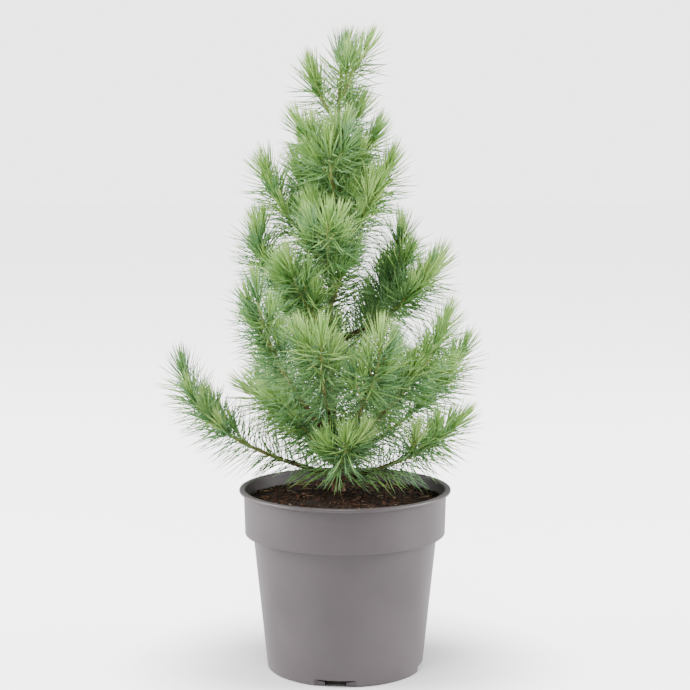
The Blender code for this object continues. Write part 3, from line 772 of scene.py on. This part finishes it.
class Axis:
    # a limb's line: points with their headings, by distance from the foot
    def __init__(self, foot, azimuth, turn, length, footRise, tipRise):
        steps = growth["steps"]
        self.length = length
        self.points = [foot.copy()]
        self.azimuths = [math.radians(azimuth)]
        self.rises = [math.radians(footRise)]
        for step in range(steps):
            share = (step + 0.5) / steps
            heading = math.radians(azimuth + turn * share)
            rise = math.radians(footRise + (tipRise - footRise) * share ** growth["bend"])
            self.points.append(self.points[-1] + direction(heading, rise) * (length / steps))
            self.azimuths.append(heading)
            self.rises.append(rise)

    def at(self, distance):
        steps = growth["steps"]
        place = max(0.0, min(1.0, distance / self.length)) * steps
        i = min(steps - 1, int(place))
        t = place - i
        point = self.points[i].lerp(self.points[i + 1], t)
        azimuth = self.azimuths[i] * (1 - t) + self.azimuths[i + 1] * t
        return point, azimuth, self.rises[i] * (1 - t) + self.rises[i + 1] * t


def shootAxis(height, azimuth, turn, length, footRise, tipRise):
    up = height - trunk["footHeight"]
    out = trunkRadius(up - growth["boughRadii"][0]) + growth["footGaps"] * pot["gap"]
    foot = trunkPoint(up) + direction(math.radians(azimuth), 0) * out
    return Axis(foot, azimuth, turn, length, footRise, tipRise)


def collarRows():
    rows = {}
    low, high = collar["heights"]
    for index in range(collar["count"]):
        height = low + (high - low) * index / (collar["count"] - 1)
        azimuth = collar["azimuth"] + collar["step"] * index
        rows[f"collar_{index + 1:02d}"] = (height, azimuth, 0, collar["length"], *collar["rises"])
    return rows


def stemTube(heap, axis, start, end, radii, sides, spacing):
    count = max(2, round((end - start) / spacing))
    rings = []
    for step in range(count + 1):
        distance = start + (end - start) * step / count
        point, azimuth, rise = axis.at(distance)
        radius = radii[0] + (radii[1] - radii[0]) * step / count
        rings.append(barkRing(point, azimuth, rise, radius, sides, growth["stemRelief"]))
    heap.tube(rings)


# needles

needle = {
    "perMetre": 2700,
    "tuftPerMetre": 5200,
    "tuftReach": 0.010,
    "length": 0.0265,
    "youngLength": 0.0215,
    "leans": (74, 56),
    "tuftLeans": (36, 3),
    "tuftShort": 0.22,
    "leanPower": 1.5,
    "leanJitter": 8,
    "leastLean": 2,
    "lengthPower": 2,
    "lengthJitter": (0.84, 1.08),
    "width": 0.00068,
    "widthJitter": (0.85, 1.12),
    "curl": 0.09,
    "curlJitter": 0.03,
    "rootDepth": 0.6,
    "twigRadius": 0.0009,
    "spacingJitter": (0.7, 1.3),
    "sprayReach": 0.009,
    "sprayJitter": (0.5, 1.1),
    "turn": 137.5,
    "turnJitter": 0.12,
    "tries": 4,
    "triedShort": 0.16,
    "triedLean": 0.8,
    "corners": 3,
    "stages": ((0.0, 0.8), (0.34, 1.0), (0.70, 0.72)),
    "askew": (0.31, 0.17, 0.93),
    "potMargin": 0.003,
    "soilLift": 0.0015,
    "rimLift": 0.0014,
    "groundLift": 0.002,
    "reachSlack": 0.003,
    "tints": {
        "needleDeep": ((0.100, 0.230, 0.075), (0.140, 0.290, 0.095)),
        "needleBlue": ((0.170, 0.355, 0.150), (0.225, 0.425, 0.180)),
        "needleMid": ((0.210, 0.420, 0.120), (0.280, 0.500, 0.150)),
        "needleFresh": ((0.300, 0.540, 0.125), (0.385, 0.610, 0.165)),
        "needlePale": ((0.400, 0.640, 0.180), (0.500, 0.710, 0.235)),
    },
    "surface": {"cloud": 190, "grain": 800, "rough": (0.42, 0.62), "gloss": 0.35},
    "tuftMix": (0, 0.4, 0.7, 3.2, 4.2),
    "shareMixes": (
        (0.6, (0.3, 1.6, 3.0, 3.2, 0.7)),
        (0.28, (1.0, 2.6, 3.4, 1.0, 0)),
    ),
    "footMix": (2.4, 2.8, 2.0, 0.3, 0),
    "highFrom": 0.27,
    "highMix": (0.4, 0.8, 1.1, 1.5, 1.2),
}

needleRows = {name: [] for name in needle["tints"]}
lowCorner, highCorner = (Vector(corner) for corner in solidBox)


def clearOfPot(point):
    radius = math.hypot(point[0], point[1])
    if radius < pot["bandFoot"] - needle["potMargin"]:
        return point[2] > soil["topHeight"] + needle["soilLift"]
    if radius < pot["lipRadius"] + needle["potMargin"]:
        return point[2] > pot["height"] + needle["rimLift"]
    return point[2] > needle["groundLift"]


def insideReach(point):
    slack = needle["reachSlack"]
    return all(lowCorner[k] - slack < point[k] < highCorner[k] + slack for k in range(3))


def tintFor(rng, share, height, isTuft):
    # weights for the tints in their order, from deep to pale
    if isTuft:
        weights = needle["tuftMix"]
    else:
        past = (mix for limit, mix in needle["shareMixes"] if share > limit)
        weights = next(past, needle["footMix"])
    if height > needle["highFrom"]:
        weights = tuple(a * b for a, b in zip(weights, needle["highMix"]))
    return rng.choices(list(needle["tints"]), weights)[0]


def sprayPast(rng, distance):
    return distance + needle["sprayReach"] * rng.uniform(*needle["sprayJitter"])


def turnStep(rng):
    return math.radians(needle["turn"]) + rng.gauss(0, needle["turnJitter"])


def growNeedles(rng, axis, start, end, shortness, density, radius, bare=False):
    # single needles in a spiral, denser and more upright towards the tip, tinted by spray
    distance = start
    turn = rng.uniform(0, math.tau)
    sprayEnd, tint = start, None
    while distance < end:
        toTip = 1.0 if bare else end - distance
        isTuft = toTip < needle["tuftReach"]
        share = (distance - start) / (end - start)
        if distance >= sprayEnd:
            point = axis.at(distance)[0]
            tint = tintFor(rng, share, point.z, isTuft)
            sprayEnd = sprayPast(rng, distance)
        rate = needle["tuftPerMetre"] if isTuft else needle["perMetre"]
        placeNeedle(rng, axis, distance, share, toTip, turn, tint, shortness, radius)
        turn += turnStep(rng)
        distance += rng.uniform(*needle["spacingJitter"]) / (rate * density)


def placeNeedle(rng, axis, distance, share, toTip, turn, tint, shortness, radius):
    # one needle, tried again shorter and closer to its twig where it would cross the pot or
    # the soil or stand out of the part's box, and left out after the last try
    point, azimuth, rise = axis.at(distance)
    heading = direction(azimuth, rise)
    across, up = crossFrame(azimuth, rise)
    old, young = needle["leans"]
    lean = old + (young - old) * share ** needle["leanPower"]
    shrink = (needle["youngLength"] - needle["length"]) * share ** needle["lengthPower"]
    length = needle["length"] + shrink
    if toTip < needle["tuftReach"]:
        upright = 1 - toTip / needle["tuftReach"]
        wide, narrow = needle["tuftLeans"]
        lean = wide + (narrow - wide) * upright
        length *= 1 - needle["tuftShort"] * upright
    outward = across * math.cos(turn) + up * math.sin(turn)
    for tried in range(needle["tries"]):
        tilt = math.radians(max(needle["leastLean"], lean + rng.gauss(0, needle["leanJitter"])))
        way = heading * math.cos(tilt) + outward * math.sin(tilt)
        shorter = 1 - needle["triedShort"] * tried
        size = length * shortness * rng.uniform(*needle["lengthJitter"]) * shorter
        stray = Vector([rng.gauss(0, needle["curlJitter"]) for _ in range(3)])
        bend = heading * needle["curl"] + stray
        root = point + outward * radius * needle["rootDepth"]
        tip = root + (way + bend) * size
        middle = root + (way + bend * 0.5) * (size * 0.5)
        if clearOfPot(tip) and clearOfPot(middle) and insideReach(tip):
            width = needle["width"] * rng.uniform(*needle["widthJitter"])
            needleRows[tint].append((*root, *way, *bend, size, width))
            return
        lean *= needle["triedLean"]


def bladePattern(corners, stages):
    # one blade's triangles: its root, the sides between its stages, and the point
    tip = corners * stages
    top = tip - corners
    pattern = [tuple(reversed(range(corners)))]
    for low in range(0, top, corners):
        high = low + corners
        for corner in range(corners):
            near = (corner + 1) % corners
            pattern.append((low + corner, low + near, high + near))
            pattern.append((low + corner, high + near, high + corner))
    pattern += [(top + corner, top + (corner + 1) % corners, tip) for corner in range(corners)]
    return pattern


def needleMesh(name, table):
    # curved blades that taper to a point, all at once
    table = np.array(table)
    root, way, bend = table[:, 0:3], table[:, 3:6], table[:, 6:9]
    size, width = table[:, 9:10], table[:, 10:11]
    side = np.cross(way, np.array(needle["askew"]))
    side /= np.linalg.norm(side, axis=1, keepdims=True)
    other = np.cross(way, side)
    corners, stages = needle["corners"], needle["stages"]
    columns = []
    for along, swell in stages:
        centre = root + way * size * along + bend * size * along**2
        for corner in range(corners):
            angle = math.tau * corner / corners
            out = side * math.cos(angle) + other * math.sin(angle)
            columns.append(centre + out * width * (swell / 2))
    columns.append(root + (way + bend) * size)
    points = np.stack(columns, axis=1).reshape(-1, 3)
    pattern = np.array(bladePattern(corners, len(stages)))
    firsts = np.arange(len(table)) * len(columns)
    faces = (pattern[None, :, :] + firsts[:, None, None]).reshape(-1, 3)
    mesh = bpy.data.meshes.new(name)
    mesh.vertices.add(len(points))
    mesh.vertices.foreach_set("co", points.astype(np.float32).ravel())
    mesh.loops.add(faces.size)
    mesh.loops.foreach_set("vertex_index", faces.astype(np.int32).ravel())
    mesh.polygons.add(len(faces))
    mesh.polygons.foreach_set("loop_start", np.arange(0, faces.size, 3, dtype=np.int32))
    mesh.update(calc_edges=True)
    mesh.validate()
    mesh.shade_smooth()
    return mesh


def growTwigs(rng, axis, start, end, kind, stems):
    span = end - start
    count = int(span / kind["every"])
    radius = kind["radius"]
    for index in range(count):
        along = (index + rng.uniform(*twigs["placeJitter"])) / max(1, count)
        point, azimuth, rise = axis.at(start + span * (twigs["first"] + twigs["span"] * along))
        side = 1 if index % 2 else -1
        reach = kind["length"] * rng.uniform(*twigs["lengthJitter"])
        swing = side * twigs["spread"] * rng.uniform(*twigs["spreadJitter"])
        footRise = math.degrees(rise) * twigs["riseShare"] + twigs["riseExtra"]
        footRise = min(twigs["steepestFoot"], footRise)
        heading, turn = math.degrees(azimuth) + swing, -side * twigs["turn"]
        twig = Axis(point, heading, turn, reach, footRise, twigs["tipRise"])
        if not clearOfPot(twig.points[-1]):
            continue
        radii = (radius, radius * twigs["taper"])
        stemTube(stems, twig, 0, reach, radii, twigs["sides"], twigs["spacing"])
        bare = reach * twigs["bareShare"]
        growNeedles(rng, twig, bare, reach, twigs["shortness"], twigs["density"], radius)


def growShoot(rng, row, boughs, brown, green):
    # the bough's bare foot, the stem, its twigs and its needles
    axis, length, start = shootAxis(*row), row[3], 0.0
    if length >= growth["boughLength"]:
        start = length * growth["boughShare"]
        sides, spacing = growth["boughSides"], growth["boughSpacing"]
        stemTube(boughs, axis, 0, start, growth["boughRadii"], sides, spacing)
        start += pot["gap"]
    middle = start + (length - start) * growth["brownShare"]
    wide, slim = growth["stemRadii"]
    between = wide + (slim - wide) * growth["brownShare"]
    sides, spacing = growth["stemSides"], growth["stemSpacing"]
    stemTube(brown, axis, start, middle, (wide, between), sides, spacing)
    greenStart = middle - growth["brownOverlap"]
    stemTube(green, axis, greenStart, length, (between, slim), sides, spacing)
    for kind in twigs["kinds"]:
        growTwigs(rng, axis, start, length, kind, green)
    density = growth["thinDensity"] if row[0] > growth["thinFrom"] else 1.0
    radius = needle["twigRadius"]
    growNeedles(rng, axis, start + growth["needleStart"], length, 1.0, density, radius)
    foot = growth["footNeedles"]
    if start > foot["past"]:
        low, high = start * foot["from"], start + foot["past"]
        growNeedles(rng, axis, low, high, foot["shortness"], foot["density"], radius, bare=True)


def growCrown():
    boughs, brown, green = Heap(), Heap(), Heap()
    allRows = {**shoots, **collarRows()}
    for index, row in enumerate(allRows.values()):
        growShoot(random.Random(growth["firstSeed"] + index), row, boughs, brown, green)
    toneA, toneB = trunk["stemTones"]
    barkPiece("boughBark", boughs, trunk["bark"], boughNodes)
    barkPiece("stemBrown", brown, dict(trunk["bark"], toneA=toneA, toneB=toneB), massNodes)
    growLeader(green)
    barkPiece("stemGreen", green, trunk["green"], massNodes)


def growLeader(stems):
    # the tuft at the trunk's tip, and the trunk's own needles
    length = leader["length"]
    low, high = trunkPoint(trunk["length"]), trunkPoint(trunk["length"] + length)
    way = (high - low).normalized()
    azimuth, rise = math.degrees(math.atan2(way.y, way.x)), math.degrees(math.asin(way.z))
    tip = Axis(low, azimuth, 0, length, rise, rise)
    rng = random.Random(growth["firstSeed"] - 1)
    radii = (trunk["tipRadius"], leader["tipRadius"])
    stemTube(stems, tip, 0, length, radii, growth["stemSides"], growth["stemSpacing"])
    growNeedles(rng, tip, 0.0, length, 1.0, leader["density"], needle["twigRadius"])
    growTrunkNeedles(rng, leader["needlesFrom"], trunk["length"])


class TrunkLine:
    # the trunk's line, asked for like a shoot's
    def at(self, distance):
        point = trunkPoint(distance)
        way = (trunkPoint(distance + leader["slopeStep"]) - point).normalized()
        return point, math.atan2(way.y, way.x), math.asin(min(1, way.z))


def growTrunkNeedles(rng, start, end):
    # sparse at the foot and denser towards the tip
    line = TrunkLine()
    distance, turn, sprayEnd, tint = start, 0.0, start, None
    (thin, thicker), (foot, more) = leader["densities"], leader["tintShares"]
    while distance < end:
        share = (distance - start) / (end - start)
        if distance >= sprayEnd:
            height, isTuft = trunk["footHeight"] + distance, share > leader["tuftFrom"]
            tint = tintFor(rng, foot + more * share, height, isTuft)
            sprayEnd = sprayPast(rng, distance)
        shortness, radius = leader["needleShortness"], trunkRadius(distance)
        placeNeedle(rng, line, distance, share, 1.0, turn, tint, shortness, radius)
        turn += turnStep(rng)
        rate = needle["perMetre"] * (thin + thicker * share)
        distance += rng.uniform(*needle["spacingJitter"]) / rate


growCrown()
for tintName, (toneA, toneB) in needle["tints"].items():
    look = dict(needle["surface"], toneA=toneA, toneB=toneB)
    mesh = needleMesh(tintName, needleRows[tintName])
    finishPiece(tintName, mesh, mottledMaterial(tintName, look), massNodes)
print("crown grown with", sum(len(table) for table in needleRows.values()), "needles")


# floor, light and camera

studio = {
    "floorSize": 12.0,
    "floorLook": {
        "toneA": (0.90, 0.90, 0.90),
        "toneB": (0.93, 0.93, 0.93),
        "cloud": 3,
        "grain": 40,
        "rough": (0.7, 0.8),
        "gloss": 0.1,
    },
    "sky": 0.47,
    "backdrop": 3.6,
    "floorGlow": 3.0,
    # where the floor's glow fades in: inside this ring the floor shows a painted shade round the
    # pot's foot
    "paintedShadeRadii": (0.047, 0.16),
    "lampAim": (0, 0, 0.2),
    "lamps": (
        ("leftLamp", (-1.6, 0.0, 0.8), 1.1, 62),
        ("rightLamp", (1.6, 0.0, 0.8), 1.1, 60),
        ("topLamp", (-0.2, -0.9, 2.2), 0.8, 38),
    ),
    "cameraPlace": (0, -1.1, 0.339129),
    "cameraPitch": 0.1256,
    "cameraLens": 94.93,
    "sensorWidth": 36,
}


def makeFloor():
    # pale all round from a glow that only the camera sees, faded out towards the pot's foot: a
    # painted soft shade round the foot, over the lamps' own shade there
    half = studio["floorSize"] / 2
    mesh = bpy.data.meshes.new("studioFloor")
    corners = [(-half, -half, 0), (half, -half, 0), (half, half, 0), (-half, half, 0)]
    mesh.from_pydata(corners, [], [(0, 1, 2, 3)])
    floorLook = mottledMaterial("studioFloor", studio["floorLook"])
    shader = floorLook.node_tree.nodes["Principled BSDF"]
    shader.inputs["Emission Color"].default_value = (1, 1, 1, 1)
    nodes, links = floorLook.node_tree.nodes, floorLook.node_tree.links
    rays = nodes.new("ShaderNodeLightPath")
    glow = nodes.new("ShaderNodeMath")
    glow.operation = "MULTIPLY"
    links.new(rays.outputs["Is Camera Ray"], glow.inputs[0])
    place = nodes.new("ShaderNodeTexCoord")
    away = nodes.new("ShaderNodeVectorMath")
    away.operation = "LENGTH"
    links.new(place.outputs["Object"], away.inputs[0])
    # the glow fades to nothing near the pot's foot, which paints a soft shade round it
    glowWithPaintedShade = nodes.new("ShaderNodeMapRange")
    glowWithPaintedShade.interpolation_type = "SMOOTHSTEP"
    glowWithPaintedShade.inputs["From Min"].default_value = studio["paintedShadeRadii"][0]
    glowWithPaintedShade.inputs["From Max"].default_value = studio["paintedShadeRadii"][1]
    glowWithPaintedShade.inputs["To Max"].default_value = studio["floorGlow"]
    links.new(away.outputs["Value"], glowWithPaintedShade.inputs["Value"])
    links.new(glowWithPaintedShade.outputs["Result"], glow.inputs[1])
    links.new(glow.outputs["Value"], shader.inputs["Emission Strength"])
    mesh.materials.append(floorLook)
    floor = bpy.data.objects.new("studioFloor", mesh)
    bpy.context.scene.collection.objects.link(floor)


def makeSky():
    # soft light on the plant, and a paler backdrop behind it
    world = bpy.data.worlds.new("studioSky")
    world.use_nodes = True
    nodes, links = world.node_tree.nodes, world.node_tree.links
    light = nodes["Background"]
    light.inputs["Color"].default_value = (1, 1, 1, 1)
    light.inputs["Strength"].default_value = studio["sky"]
    shown = nodes.new("ShaderNodeBackground")
    shown.inputs["Color"].default_value = (1, 1, 1, 1)
    shown.inputs["Strength"].default_value = studio["backdrop"]
    rays = nodes.new("ShaderNodeLightPath")
    either = nodes.new("ShaderNodeMixShader")
    links.new(rays.outputs["Is Camera Ray"], either.inputs["Fac"])
    links.new(light.outputs["Background"], either.inputs[1])
    links.new(shown.outputs["Background"], either.inputs[2])
    links.new(either.outputs["Shader"], nodes["World Output"].inputs["Surface"])
    bpy.context.scene.world = world


def makeLamps():
    target = Vector(studio["lampAim"])
    for name, place, size, power in studio["lamps"]:
        lamp = bpy.data.lights.new(name, "AREA")
        lamp.size = size
        lamp.energy = power
        made = bpy.data.objects.new(name, lamp)
        made.location = place
        made.rotation_euler = (target - Vector(place)).to_track_quat("-Z", "Y").to_euler()
        bpy.context.scene.collection.objects.link(made)


def makeCamera():
    lens = bpy.data.cameras.new("photoCamera")
    lens.lens = studio["cameraLens"]
    lens.sensor_width = studio["sensorWidth"]
    camera = bpy.data.objects.new("photoCamera", lens)
    camera.location = studio["cameraPlace"]
    camera.rotation_euler = (math.pi / 2 - studio["cameraPitch"], 0, 0)
    bpy.context.scene.collection.objects.link(camera)
    bpy.context.scene.camera = camera


makeFloor()
makeSky()
makeLamps()
makeCamera()
print("studio ready")
